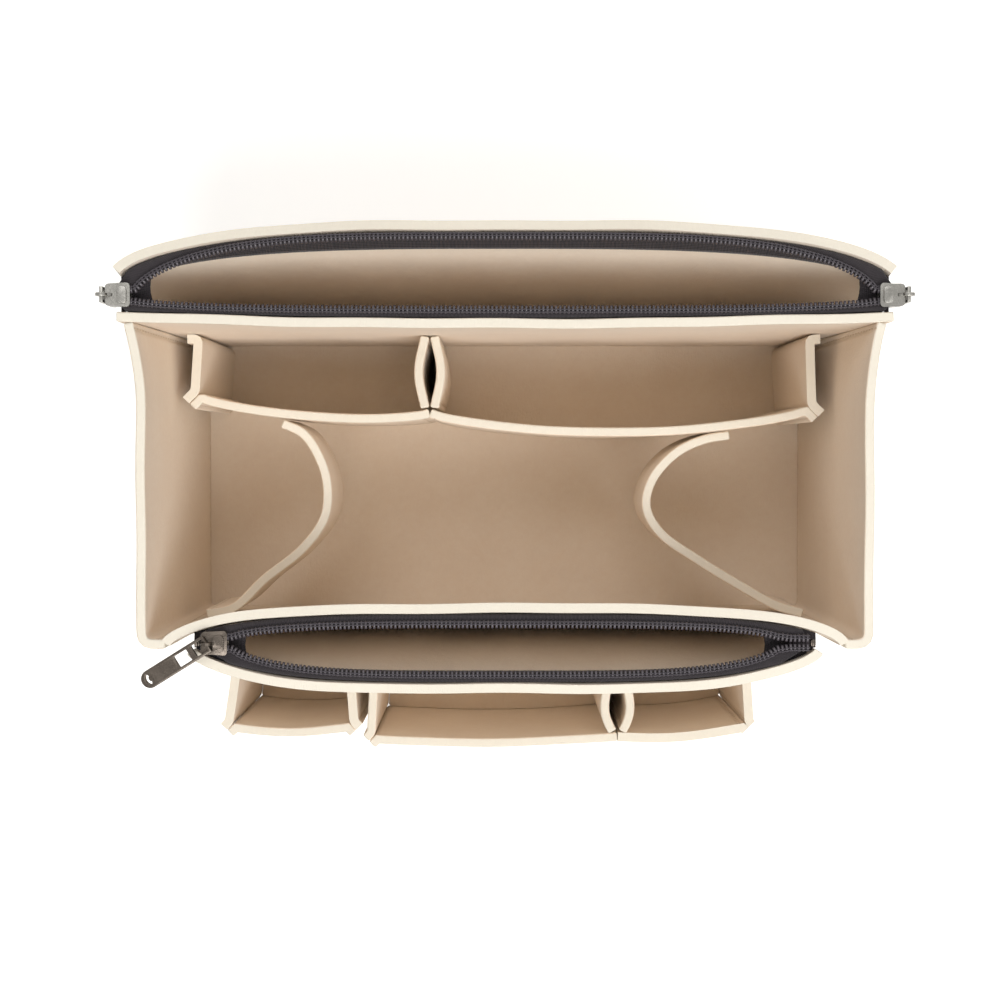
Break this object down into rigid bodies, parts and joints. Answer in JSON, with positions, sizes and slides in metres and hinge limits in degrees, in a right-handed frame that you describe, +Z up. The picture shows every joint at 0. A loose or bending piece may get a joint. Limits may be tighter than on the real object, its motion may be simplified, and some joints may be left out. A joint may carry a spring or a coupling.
{
  "type": "purse organizer insert",
  "caption": "Felt purse organizer insert: an open main space between a rear and a front zip pocket, with inner and outer slip pockets, narrow loops and curved holder straps.",
  "frame": {"origin": "middle of the base panel's underside, on the surface it stands on", "axes": "+X to the right, +Y to the rear (the side with the two-slider zip), +Z up"},
  "size_m": [0.289, 0.1981, 0.1562],
  "materials": {
    "felt": "matte wool-like felt, cut edges",
    "tape": "woven tape, matte",
    "coil": "moulded coil, slightly glossy",
    "nickel": "plated metal, polished",
    "gunmetal": "dark plated metal, satin"
  },
  "bodies": {
    "organizer": {"bottom_panel": "felt", "rear_inner_wall": "felt", "rear_outer_wall": "felt", "right_side_wall": "felt", "left_side_wall": "felt", "front_inner_wall": "felt", "front_outer_wall": "felt", "inner_left_pocket_front": "felt", "inner_left_pocket_left_gusset": "felt", "inner_left_pocket_right_gusset": "felt", "inner_right_pocket_front": "felt", "inner_right_pocket_left_gusset": "felt", "inner_right_pocket_right_gusset": "felt", "outer_left_pocket_front": "felt", "outer_left_pocket_left_gusset": "felt", "outer_left_pocket_right_gusset": "felt", "outer_left_pocket_bottom": "felt", "outer_centre_pocket_front": "felt", "outer_centre_pocket_left_gusset": "felt", "outer_centre_pocket_right_gusset": "felt", "outer_centre_pocket_bottom": "felt", "outer_right_pocket_front": "felt", "outer_right_pocket_left_gusset": "felt", "outer_right_pocket_right_gusset": "felt", "outer_right_pocket_bottom": "felt", "left_holder_strap": "felt", "right_holder_strap": "felt", "rear_zip_inner_tape": "tape", "rear_zip_outer_tape": "tape", "front_zip_inner_tape": "tape", "front_zip_outer_tape": "tape", "rear_zip_inner_coil": "coil", "rear_zip_outer_coil": "coil", "front_zip_inner_coil": "coil", "front_zip_outer_coil": "coil", "rear_zip_right_stop": "nickel", "rear_zip_left_stop": "nickel", "front_zip_right_stop": "gunmetal", "front_zip_left_stop": "gunmetal"},
    "rear_right_slider": {"rear_right_slider": "nickel"},
    "rear_left_slider": {"rear_left_slider": "nickel"},
    "front_slider": {"front_slider": "gunmetal"},
    "rear_right_pull": {"rear_right_pull": "nickel"},
    "rear_left_pull": {"rear_left_pull": "nickel"},
    "front_pull": {"front_pull": "gunmetal"}
  },
  "joints": [
    {"name": "rear_right_slide", "type": "slide", "parent": "organizer", "child": "rear_right_slider", "axis": [-1, 0, 0], "range_m": [0, 0.13], "deforming": ["rear_zip_inner_tape", "rear_zip_outer_tape", "rear_zip_inner_coil", "rear_zip_outer_coil"]},
    {"name": "rear_left_slide", "type": "slide", "parent": "organizer", "child": "rear_left_slider", "axis": [1, 0, 0], "range_m": [0, 0.13]},
    {"name": "front_slide", "type": "slide", "parent": "organizer", "child": "front_slider", "axis": [1, 0, 0], "range_m": [0, 0.202], "deforming": ["front_zip_inner_tape", "front_zip_outer_tape", "front_zip_inner_coil", "front_zip_outer_coil"]},
    {"name": "rear_right_pull_hinge", "type": "hinge", "parent": "rear_right_slider", "child": "rear_right_pull", "pos_m": [0.1424, 0.0636, 0.1541], "axis": [0, 1, 0], "range_deg": [-255, 0]},
    {"name": "rear_left_pull_hinge", "type": "hinge", "parent": "rear_left_slider", "child": "rear_left_pull", "pos_m": [-0.1424, 0.0636, 0.1541], "axis": [0, -1, 0], "range_deg": [-255, 0]},
    {"name": "front_pull_hinge", "type": "hinge", "parent": "front_slider", "child": "front_pull", "pos_m": [-0.1059, -0.0599, 0.1541], "axis": [-0.5592, 0.829, 0], "range_deg": [0, 165]}
  ],
  "couplings": [
    {"joint": "rear_left_slide", "follows": "rear_right_slide", "ratio": 1}
  ]
}
